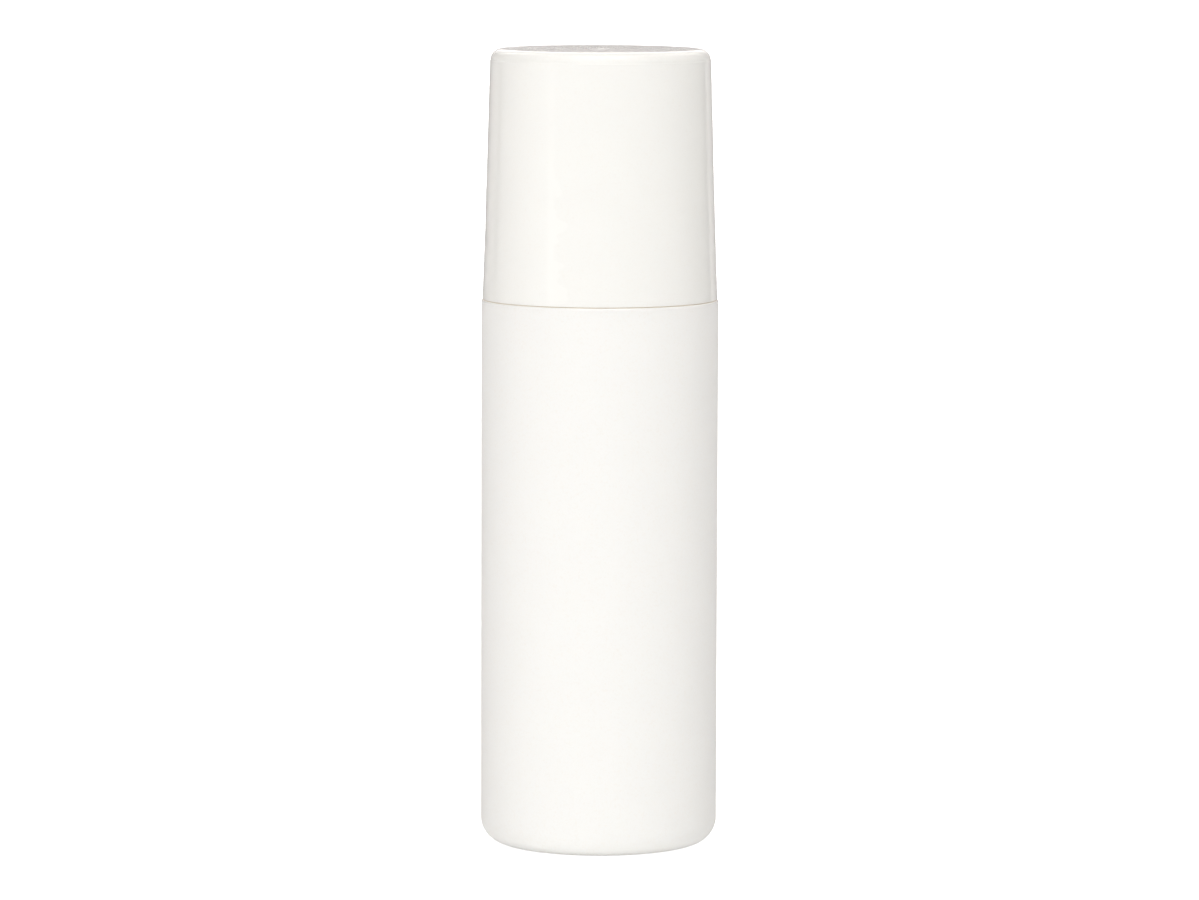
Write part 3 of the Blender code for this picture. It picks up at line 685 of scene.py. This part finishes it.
def bottle():
    """The blown body: foot, wall, shoulder and threaded neck in one piece."""
    angles = ring_angles(252, PARTING, PARTING_BESIDE)
    inner = BODY_RADIUS - BOTTLE_WALL
    corner = FOOT_RADIUS - BOTTLE_WALL
    under = SHOULDER - SHOULDER_WALL
    foot = [(0, PUSH_UP)] + line((PUSH_UP_STEP, PUSH_UP), (PUSH_UP_FLAT, PUSH_UP), step=PUSH_UP_STEP)
    slope = swell((PUSH_UP_FLAT, PUSH_UP), (RING_INSIDE, 0))
    ring = line((RING_INSIDE, 0), (BODY_RADIUS - FOOT_RADIUS, 0), step=0.0007)
    rounded = arc((BODY_RADIUS - FOOT_RADIUS, FOOT_RADIUS), FOOT_RADIUS, -90, 0, steps=20)
    wall = line((BODY_RADIUS, FOOT_RADIUS), (BODY_RADIUS, SHOULDER - SHOULDER_EDGE), step=0.0012)
    edge = arc((BODY_RADIUS - SHOULDER_EDGE, SHOULDER - SHOULDER_EDGE), SHOULDER_EDGE, 0, 90, steps=16)
    flat = line((BODY_RADIUS - SHOULDER_EDGE, SHOULDER), (NECK_RADIUS + NECK_FILLET, SHOULDER), step=0.0006)
    root = arc((NECK_RADIUS + NECK_FILLET, SHOULDER + NECK_FILLET), NECK_FILLET, 270, 180, steps=6)
    neck = line((NECK_RADIUS, SHOULDER + NECK_FILLET), (NECK_RADIUS, RIM - NECK_FILLET), step=0.00011)
    rim = arc((NECK_RADIUS - NECK_FILLET, RIM - NECK_FILLET), NECK_FILLET, 0, 90, steps=8)
    rim += [(NECK_BORE + BORE_CHAMFER, RIM)]
    bore = arc((NECK_BORE + BORE_CHAMFER, RIM - BORE_CHAMFER), BORE_CHAMFER, 90, 180, steps=5)
    bore += line((NECK_BORE, RIM - BORE_CHAMFER), (NECK_BORE, under + BORE_FOOT), step=0.0012)[1:]
    bore += arc((NECK_BORE + BORE_FOOT, under + BORE_FOOT), BORE_FOOT, 180, 270, steps=6)[1:]
    inside = arc((inner - SHOULDER_INSIDE, under - SHOULDER_INSIDE), SHOULDER_INSIDE, 90, 0, steps=8)
    inside += line((inner, under - SHOULDER_INSIDE), (inner, FOOT_WALL + corner), step=0.006)[1:]
    inside += arc((inner - corner, FOOT_WALL + corner), corner, 0, -90, steps=8)[1:]
    inside += swell((RING_INSIDE, FOOT_WALL), (PUSH_UP_FLAT, PUSH_UP + FOOT_WALL), steps=8)
    inside += line((PUSH_UP_FLAT, PUSH_UP + FOOT_WALL), (0, PUSH_UP + FOOT_WALL), step=0.002)[1:]
    obj = skin(
        "blown_bottle",
        [
            ("foot", foot), ("slope", slope), ("ring", ring), ("rounded", rounded), ("wall", wall),
            ("edge", edge), ("flat", flat), ("root", root), ("neck", neck), ("rim", rim), ("bore", bore),
            ("inside", inside),
        ],
        angles,
        {"foot": pinch_shape, "wall": wall_shape, "neck": neck_shape},
    )
    shown(obj, bottle_plastic(), "bottle", "bottle")


def cap_radius(height):
    """The cap shell's outside radius at a height above the shoulder."""
    return BODY_RADIUS - CAP_STEP - CAP_DRAFT * height / CAP_TALL


# The cooling waves in the shell's wall: their depth, their swaying first term and their other terms
CAP_SINK = 0.000055
SINK_SWAY = {"length": 0.00130, "phase": 1.1, "sway": 1.2, "sway_length": 0.0070}
SINK_TERMS = ((0.00210, 7, 0.3, 0.9), (0.00480, -4, 2.2, 0.8), (-0.0060, 9, 0.0, 0.7))
SINK_PEAK = 3.4

# The finer ripples near its foot: their depth and their lengths over two pi, round the cap and up it
CAP_RIPPLE = 0.000018
RIPPLE_ROUND = 0.00085
RIPPLE_UP = 0.00042

# The gate's mark in the middle of the top: the depths of its nub and of the dimple round it, the radii
# where the nub ends and the dimple starts, ends and is level with the top again, and the nub's mesh step
GATE_NUB = 0.00001
GATE_DIMPLE = 0.00003
GATE_RADII = (0.00035, 0.00055, 0.0010, 0.0019)
GATE_STEP = 0.00012


def sink_shape(r, z, turns):
    """Slow waves from the shell's cooling, and finer ripples near its foot. Both only go inwards."""
    height = z - SHOULDER
    inside = smooth(height, 0.0006, 0.008) * (1 - smooth(height, CAP_TALL - 0.018, CAP_TALL - CAP_EDGE))
    across = turns * cap_radius(0)
    sway = SINK_SWAY["sway"] * np.sin(across / SINK_SWAY["sway_length"])
    wave = waves(z, turns, SINK_TERMS, np.sin(z / SINK_SWAY["length"] + SINK_SWAY["phase"] + sway))
    ripple_round = np.sin(across / RIPPLE_ROUND + 1.5 * np.sin(z / 0.0016))
    ripple_up = np.sin(z / RIPPLE_UP + 2 * np.sin(across / 0.004))
    ripple = ripple_round * ripple_up
    low = smooth(height, 0.0006, 0.0020) * (1 - smooth(height, 0.014, 0.025))
    return r - CAP_SINK * (wave / SINK_PEAK + 1) / 2 * inside - CAP_RIPPLE * (ripple + 1) / 2 * low, z


def cap_shell():
    """The glossy shell, with the snap bead and the lugs that hold the liner."""
    angles = ring_angles(300)
    top_centre = cap_radius(CAP_TALL) - CAP_EDGE

    def wall(height):
        return at(cap_radius(height), height)

    def bore(height):
        return at(cap_radius(height) - CAP_WALL, height)

    bead_top = CAP_FOOT + SNAP_BEAD["start"] + SNAP_BEAD["width"]
    bead_foot = CAP_FOOT + SNAP_BEAD["start"]
    crown_under = CAP_TALL - CAP_CROWN
    nub_end, dimple_start, dimple_end, gate_end = GATE_RADII
    nub = HEIGHT - GATE_NUB
    dimple = HEIGHT - GATE_DIMPLE
    gate = [(0, nub)] + line((GATE_STEP, nub), (nub_end, nub), step=GATE_STEP)
    gate += swell((nub_end, nub), (dimple_start, dimple), steps=6)[1:]
    gate += line((dimple_start, dimple), (dimple_end, dimple), step=0.0002)[1:]
    gate += swell((dimple_end, dimple), (gate_end, HEIGHT), steps=8)[1:]
    top = line((gate_end, HEIGHT), (top_centre, HEIGHT), step=0.0012)
    edge = arc((top_centre, HEIGHT - CAP_EDGE), CAP_EDGE, 90, CAP_EDGE_END, steps=24)
    heights = np.linspace(CAP_TALL - CAP_EDGE, CAP_SEAT + CAP_FOOT_EDGE, 121)
    side = [wall(h) for h in heights]
    foot_centre = at(cap_radius(CAP_SEAT) - CAP_FOOT_EDGE, CAP_SEAT + CAP_FOOT_EDGE)
    foot = arc(foot_centre, CAP_FOOT_EDGE, 0, -90, steps=8) + [bore(CAP_SEAT)]
    inside = [bore(bead_foot)]
    for share in np.linspace(0, 1, 11):
        height = bead_foot + SNAP_BEAD["width"] * share
        r, z = bore(height)
        inside.append((r - SNAP_BEAD["depth"] * math.sin(math.pi * share) ** SNAP_BEAD["fullness"], z))
    above_bead = bead_top + SNAP_BEAD["clear"]
    inside += [bore(h) for h in np.linspace(above_bead, crown_under - CROWN_INSIDE, 8)]
    crown_centre = at(cap_radius(crown_under) - CAP_WALL - CROWN_INSIDE, crown_under - CROWN_INSIDE)
    crown = arc(crown_centre, CROWN_INSIDE, 0, 90, steps=8)
    crown += line(at(CROWN_FLAT, crown_under), at(0, crown_under), step=0.002)
    obj = skin(
        "cap_shell",
        [
            ("gate", gate), ("top", top), ("edge", edge), ("side", side), ("foot", foot),
            ("inside", inside), ("crown", crown),
        ],
        angles,
        {"side": sink_shape},
    )
    radius = liner_radius(CAP_TALL - CAP_CROWN - GAP) - LINER_EDGE - LUG["margin"] - LUG["long"] / 2
    tall = LUG["drop"] + CAP_CROWN / 2
    lugs = lug_blocks(
        "lugs", (LUG["long"], LUG["wide"], tall), radius, SHOULDER + crown_under - LUG["drop"] + tall / 2
    )
    cut(obj, lugs, "UNION")
    shown(obj, cap_plastic(), "outer_cap", "cap")


def liner_radius(height):
    """The liner's outside radius at a height above the shoulder."""
    return cap_radius(height) - CAP_WALL - GAP


def liner_shape(r, z, turns):
    """The liner's bore with its thread standing inwards."""
    first, last = (NECK_BEAD_TURNS * share for share in CAP_BEAD_SHARES)
    start = SHOULDER + NECK_BEAD_START - CAP_BEAD_DROP
    return r - thread_rise(turns, z, start, first, last, CAP_BEAD), z


def cap_liner():
    """The threaded liner, with the collar in its crown that holds the disc."""
    angles = ring_angles(252)
    foot_height = CAP_FOOT + SNAP_BEAD["start"] + SNAP_BEAD["width"] + GAP
    top_height = CAP_TALL - CAP_CROWN - GAP
    under = top_height - LINER_CROWN
    edge_centre = liner_radius(top_height) - LINER_EDGE
    corner = LINER_EDGE - LINER_WALL
    crown_bore = liner_radius(under) - LINER_WALL
    disc_bottom = under - GAP - DISC_TALL
    lip_top = disc_bottom - GAP
    lip_foot = lip_top - COLLAR_LIP_TALL
    collar_bore = DISC_RADIUS + GAP
    collar = collar_bore + COLLAR_WALL
    crown = [at(0, top_height)]
    crown += line(at(LINER_FIRST_ROW, top_height), at(edge_centre, top_height), step=0.0012)
    crown += arc(at(edge_centre, top_height - LINER_EDGE), LINER_EDGE, 90, LINER_EDGE_END, steps=12)[1:]
    heights = np.linspace(top_height - LINER_EDGE, foot_height + LINER_ROUND, 30)[1:]
    outside = [at(liner_radius(h), h) for h in heights]
    foot_centre = liner_radius(foot_height) - LINER_ROUND
    outside += arc(at(foot_centre, foot_height + LINER_ROUND), LINER_ROUND, 0, -90, steps=5)[1:]
    mouth = line(at(foot_centre, foot_height), at(THREAD_ROOT + corner / 2, foot_height), step=0.0004)
    mouth += arc(at(THREAD_ROOT + corner, foot_height + corner), corner, -120, -180, steps=6)
    threaded = line(at(THREAD_ROOT, foot_height + corner), at(THREAD_ROOT, LINER_FINE_TOP), step=0.00010)
    bore = line(at(THREAD_ROOT, LINER_FINE_TOP), at(THREAD_ROOT, LINER_THREAD_TOP), step=0.0009)
    bore += line(at(THREAD_ROOT, LINER_THREAD_TOP), at(crown_bore, under - corner), step=0.0014)[1:]
    bore += arc(at(crown_bore - corner, under - corner), corner, 0, 90, steps=6)[1:]
    ring = line(at(crown_bore - corner, under), at(collar + LINER_ROUND, under), step=0.0008)
    ring += arc(at(collar + LINER_ROUND, under - LINER_ROUND), LINER_ROUND, 90, 180, steps=4)[1:]
    ring += line(at(collar, under - LINER_ROUND), at(collar, lip_foot + LINER_ROUND), step=0.0009)[1:]
    ring += arc(at(collar - LINER_ROUND, lip_foot + LINER_ROUND), LINER_ROUND, 0, -90, steps=5)[1:]
    lip_centre = at(collar_bore - COLLAR_LIP + COLLAR_LIP_ROUND, lip_foot + COLLAR_LIP_ROUND)
    ring += arc(lip_centre, COLLAR_LIP_ROUND, -90, -180, steps=5)
    ring += [
        at(collar_bore - COLLAR_LIP, lip_top - COLLAR_LIP / 2),
        at(collar_bore, lip_top),
        at(collar_bore, under),
    ]
    ring += line(at(collar_bore - COLLAR_CLEAR, under), at(0, under), step=0.0015)
    obj = skin(
        "cap_liner",
        [
            ("crown", crown), ("outside", outside), ("mouth", mouth), ("threaded", threaded),
            ("bore", bore), ("ring", ring),
        ],
        angles,
        {"threaded": liner_shape},
    )
    radius = edge_centre - LUG["margin"] - LUG["long"] / 2
    slots = lug_blocks(
        "slots",
        (LUG["long"] + 2 * GAP, LUG["wide"] + 2 * GAP, 3 * LINER_CROWN),
        radius,
        SHOULDER + top_height,
    )
    cut(obj, slots, "DIFFERENCE")
    shown(obj, liner_plastic(), "inner_cap", "cap")


def seal_disc():
    """The flexible disc over the ball, slightly dished where the ball presses it."""
    under = SHOULDER + CAP_TALL - CAP_CROWN - GAP - LINER_CROWN - GAP
    low = under - DISC_TALL
    rim = DISC_RADIUS - DISC_EDGE
    outline = [(0, under)] + line((DISC_STEP, under), (rim, under), step=DISC_STEP)
    outline += arc((rim, under - DISC_EDGE), DISC_EDGE, 90, 0, steps=7)[1:]
    outline += arc((rim, low + DISC_EDGE), DISC_EDGE, 0, -90, steps=7)
    outline += line((rim, low), (DISH_RADIUS, low), step=0.0005)[1:]
    outline += swell((DISH_RADIUS, low), (DISH_FLAT, low + DISH_DEPTH), steps=20)[1:]
    outline += [(0, low + DISH_DEPTH)]
    obj = skin("seal_disc", [("all", outline)], ring_angles(180))
    shown(obj, disc_elastomer(), "sealing_disc", "disc")


def plug_housing():
    """The plug that snaps into the neck, with its flange on the rim and its lip round the ball."""
    bore = PLUG_BODY - PLUG_WALL
    seat = bore - SEAT_REACH
    centre = BALL_CENTRE - RIM
    seat_depth = math.sqrt(CUP_BORE**2 - seat**2)
    lip = BALL_RADIUS - LIP_REACH
    lip_rise = math.sqrt(CUP_BORE**2 - lip**2)
    lip_top = centre + lip_rise + LIP_TALL
    seat_edge = centre - seat_depth
    seat_angle = -math.degrees(math.asin(seat_depth / CUP_BORE))
    lip_angle = math.degrees(math.asin(lip_rise / CUP_BORE))
    outline = line((bore, -PLUG_LONG), (bore, seat_edge - SEAT_THICK - SEAT_REACH), step=0.0012)
    outline += line(outline[-1], (seat, seat_edge - SEAT_THICK), step=0.0006)[1:]
    outline += arc((0, centre), CUP_BORE, seat_angle, lip_angle, steps=40)
    outline += arc((lip + LIP_TALL / 2, lip_top - LIP_TALL / 2), LIP_TALL / 2, 180, 90, steps=6)
    outline += arc((CUP_RADIUS - LIP_FILLET, lip_top - LIP_FILLET), LIP_FILLET, 90, 0, steps=10)
    outline += line((CUP_RADIUS, lip_top - LIP_FILLET), (FLANGE_RADIUS, GAP + FLANGE_ROUND), step=0.0012)[1:]
    outline += arc((FLANGE_RADIUS - FLANGE_ROUND, GAP + FLANGE_ROUND), FLANGE_ROUND, 0, -90, steps=5)[1:]
    outline += line((FLANGE_RADIUS - FLANGE_ROUND, GAP), (PLUG_BODY, GAP), step=0.0007)[1:]
    for share in PLUG_RIB_SHARES:
        rib_top = -PLUG_LONG * share + PLUG_RIB_WIDTH / 2
        for k in np.linspace(0, 1, 9):
            outline.append((PLUG_BODY + PLUG_RIB * math.sin(math.pi * k), rib_top - PLUG_RIB_WIDTH * k))
    outline += [(PLUG_BODY, PLUG_LEAD_IN - PLUG_LONG), (PLUG_BODY - PLUG_LEAD_IN / 2, -PLUG_LONG)]
    outline = [(r, z + RIM) for r, z in outline]
    obj = skin("plug_housing", [("all", outline)], ring_angles(216))
    shown(obj, housing_plastic(), "ball_housing", "bottle")


# The weld round the ball's middle, ground a little below the rest
WELD_DEPTH = 0.000012
WELD_EDGES = (0.00010, 0.00030)


def rolling_ball():
    """The ball, ground smooth over the weld round its middle. Its poles lie on the axis it rolls about."""
    outline = arc((0, 0), BALL_RADIUS, 90, -90, steps=150)
    outline[0], outline[-1] = (0, BALL_RADIUS), (0, -BALL_RADIUS)

    def ground(r, z, turns):
        return r - WELD_DEPTH * (1 - smooth(np.abs(z), *WELD_EDGES)), z

    obj = skin("rolling_ball", [("ball", outline)], ring_angles(216), {"ball": ground})
    mesh = obj.data
    points = np.empty(3 * len(mesh.vertices))
    mesh.vertices.foreach_get("co", points)
    x, y, z = points.reshape(-1, 3).T
    mesh.vertices.foreach_set("co", np.stack([z, y, -x + BALL_CENTRE], axis=-1).ravel())
    mesh.update()
    shown(obj, ball_plastic(), "roller_ball", "ball")


# Scene

CAMERA_PLACE = (0.0, -0.8870, 0.1489)
CAMERA_PITCH = -5.9350
CAMERA_ROLL = 0.172
CAMERA_LENS = 186.3
CAMERA_SENSOR = 36
CAMERA_CLIP = (0.01, 100)

# Light by azimuth, in degrees from the camera's side and + to the right, above the horizon
HIGH_LIGHT = [
    (-180, 2.40), (-158, 0.15), (-120, 0.02), (-60, 0.20), (0, 1.81),
    (60, 0.05), (120, 0.30), (158, 0.25), (180, 2.40),
]

# The same below the horizon, which is what the upright walls mirror. It has a dark gap at -131.5 to -125,
# a brighter strip at -53 to -49.5 and a dark gap at 131.5 to 139.5
LOW_LIGHT = [
    (-180, 0.45), (-173, 0.45), (-165, 0.38), (-157, 0.44), (-138, 0.51), (-132.8, 0.52),
    (-131.5, 0.13), (-125, 0.13), (-123.5, 0.38),
    (-114, 0.59), (-102, 0.71), (-84, 0.98), (-60, 1.31), (-54, 1.40),
    (-53, 1.85), (-49.5, 1.80), (-48.5, 1.33),
    (-38, 1.02), (-24, 0.95), (-12, 0.79), (18, 0.72), (33, 0.56), (48, 0.63), (66, 0.50),
    (80, 0.28), (100, 0.06), (130, 0.10),
    (131.5, 0.02), (139.5, 0.04),
    (141.5, 0.62), (157, 0.47), (180, 0.45),
]
LIGHT_CEILING = 2.5
TOP_LIGHT = 0.640

# Where the light from below the horizon goes over into that from above, and that into the top light
HORIZON = (0.06, 0.26)
TOP = (0.35, 0.85)

# A patch of light over the camera and a strip on each side, with the places of their edges in the sky
FRONT_LIGHT = 2.00
FRONT_ACROSS = (-0.36, 0.36, 0.10)
FRONT_DEEP = (-0.66, 0.08, 0.08)
FRONT_HEIGHT = 0.40
STRIP_LIGHT = 2.0
STRIP_ACROSS = (0.37, 0.47, 0.03)
STRIP_DEEP = (0.14, 0.84, 0.06)
STRIP_HEIGHT = 0.25
SKY_SOFT = 0.1

# The world as the camera sees it, and the light's colour from the front and from behind
WORLD_SEEN = 1.05
FRONT_COLOUR = (1, 1, 1, 1)
BACK_COLOUR = (1.055, 1, 0.985, 1)
COLOUR_EDGES = (-0.7, 0.5)

# The floor's shades, its glow as the camera sees it and as it lights the object, its reach and its drop
FLOOR_WHITE = (0.85, 0.85, 0.85, 1)
FLOOR_SHADE = (0.84, 0.84, 0.84, 1)
FLOOR_SPECULAR = 0.2
FLOOR_SEEN = 0.75
FLOOR_GLOW = 0.215
FLOOR_REACH = 12.0
FLOOR_DROP = 0.00002


def floor():
    """A plain white table that glows, so that it reads white to the camera and its shadows stay faint."""
    mesh = bpy.data.meshes.new("floor")
    corners = ((-1, -1), (1, -1), (1, 1), (-1, 1))
    places = [(x * FLOOR_REACH, y * FLOOR_REACH, -FLOOR_DROP) for x, y in corners]
    mesh.from_pydata(places, [], [(0, 1, 2, 3)])
    obj = bpy.data.objects.new("floor", mesh)
    bpy.context.scene.collection.objects.link(obj)
    g = Graph("floor_white")
    tone = g.noise(9.0, 2.0)
    grain = g.noise(700.0, 2.0)
    g.plug(g.shader.inputs["Base Color"], g.blend(tone, FLOOR_WHITE, FLOOR_SHADE))
    g.plug(g.shader.inputs["Roughness"], g.range(grain, 0.3, 0.7, 0.55, 0.7))
    g.shader.inputs["Specular IOR Level"].default_value = FLOOR_SPECULAR
    g.shader.inputs["Emission Color"].default_value = (1, 1, 1, 1)
    seen = g.add("ShaderNodeLightPath").outputs["Is Camera Ray"]
    levels = {"Factor": seen, MIX_LOW: FLOOR_GLOW, MIX_HIGH: FLOOR_SEEN}
    glow = g.add("ShaderNodeMix", levels, data_type="FLOAT", name="glow")
    g.plug(g.shader.inputs["Emission Strength"], glow.outputs[0])
    mesh.materials.append(g.material)
    obj.visible_glossy = False


def studio():
    """Soft light by azimuth above and below the horizon, with a top light, a patch and two strips."""
    world = bpy.data.worlds.new("studio")
    bpy.context.scene.world = world
    world.use_nodes = True
    tree = world.node_tree
    tree.nodes.clear()

    def add(kind, inputs=None, **settings):
        """A new node in the world's tree."""
        return new_node(tree, kind, inputs, **settings)

    def sum_of(operation, first, second=0.0, name=""):
        """The result of one sum."""
        node = add("ShaderNodeMath", {0: first, 1: second}, operation=operation, name=name or operation)
        return node.outputs[0]

    def rise(value, low, high):
        """0 below low, 1 above high, and a smooth step between."""
        return add("ShaderNodeMapRange", {
            "Value": value, "From Min": low, "From Max": high, "To Min": 0.0, "To Max": 1.0,
        }, interpolation_type="SMOOTHSTEP").outputs["Result"]

    def between(value, low, high, soft, within=1.0):
        """1 between two values and softly 0 outside them, inside another such mask."""
        over = rise(value, low - soft, low + soft)
        inside = sum_of("MULTIPLY", over, rise(value, high + soft, high - soft))
        return sum_of("MULTIPLY", inside, within)

    def sky(mask, height):
        """The part of a mask that lies above a height."""
        return sum_of("MULTIPLY", mask, rise(parts.outputs["Z"], height - SKY_SOFT, height + SKY_SOFT))

    def round_about(name, levels):
        """A light level by azimuth."""
        ramp = add("ShaderNodeValToRGB", {"Fac": share}, name=name)
        band = ramp.color_ramp
        for i, (degrees, level) in enumerate(levels):
            place = degrees / 360 + 0.5
            ends = {0: band.elements[0], len(levels) - 1: band.elements[-1]}
            element = ends.get(i) or band.elements.new(place)
            element.position = place
            grey = level / LIGHT_CEILING
            element.color = (grey, grey, grey, 1)
        return sum_of("MULTIPLY", ramp.outputs["Color"], LIGHT_CEILING)

    def upward(low, high, below, above, name):
        """One level below a height of the sky and another above it, blended between the two."""
        levels = {"Factor": rise(parts.outputs["Z"], low, high), MIX_LOW: below, MIX_HIGH: above}
        return add("ShaderNodeMix", levels, data_type="FLOAT", name=name).outputs[0]

    way = add("ShaderNodeTexCoord").outputs["Generated"]
    parts = add("ShaderNodeSeparateXYZ", {"Vector": way})
    back = sum_of("MULTIPLY", parts.outputs["Y"], -1.0)
    azimuth = sum_of("ARCTAN2", parts.outputs["X"], back)
    share = sum_of("ADD", sum_of("MULTIPLY", azimuth, 1 / (2 * math.pi)), 0.5)
    sides = upward(*HORIZON, round_about("low", LOW_LIGHT), round_about("high", HIGH_LIGHT), "sides")
    lit = upward(*TOP, sides, TOP_LIGHT, "top")
    ahead = between(parts.outputs["X"], *FRONT_ACROSS, between(parts.outputs["Y"], *FRONT_DEEP))
    lit = sum_of("ADD", lit, sum_of("MULTIPLY", sky(ahead, FRONT_HEIGHT), FRONT_LIGHT, "front"))
    outwards = sum_of("ABSOLUTE", parts.outputs["X"])
    aside = between(outwards, *STRIP_ACROSS, between(parts.outputs["Y"], *STRIP_DEEP))
    lit = sum_of("ADD", lit, sum_of("MULTIPLY", sky(aside, STRIP_HEIGHT), STRIP_LIGHT, "strips"))
    seen = add("ShaderNodeLightPath").outputs["Is Camera Ray"]
    levels = {"Factor": seen, MIX_LOW: lit, MIX_HIGH: WORLD_SEEN}
    level = add("ShaderNodeMix", levels, data_type="FLOAT", name="seen")
    behind = rise(parts.outputs["Y"], *COLOUR_EDGES)
    warmth = add("ShaderNodeMix", {"Factor": behind}, data_type="RGBA")
    warmth.inputs[MIX_FIRST].default_value = FRONT_COLOUR
    warmth.inputs[MIX_SECOND].default_value = BACK_COLOUR
    light = add("ShaderNodeBackground", {"Strength": level.outputs[0], "Color": warmth.outputs[MIX_RESULT]})
    out = add("ShaderNodeOutputWorld")
    tree.links.new(light.outputs[0], out.inputs["Surface"])
    world.cycles.sampling_method = "NONE"


def camera():
    """The camera at the photograph's place, looking a little down, with a small roll."""
    data = bpy.data.cameras.new("camera")
    data.lens = CAMERA_LENS
    data.sensor_width = CAMERA_SENSOR
    data.clip_start, data.clip_end = CAMERA_CLIP
    obj = bpy.data.objects.new("camera", data)
    bpy.context.scene.collection.objects.link(obj)
    obj.location = CAMERA_PLACE
    pitch = Matrix.Rotation(math.radians(90 + CAMERA_PITCH), 4, "X")
    roll = Matrix.Rotation(math.radians(CAMERA_ROLL), 4, "Z")
    obj.rotation_euler = (pitch @ roll).to_euler()
    bpy.context.scene.camera = obj


bottle()
plug_housing()
rolling_ball()
cap_shell()
cap_liner()
seal_disc()
floor()
studio()
camera()
bpy.context.scene.view_settings.view_transform = "Standard"

bpy.context.view_layer.update()
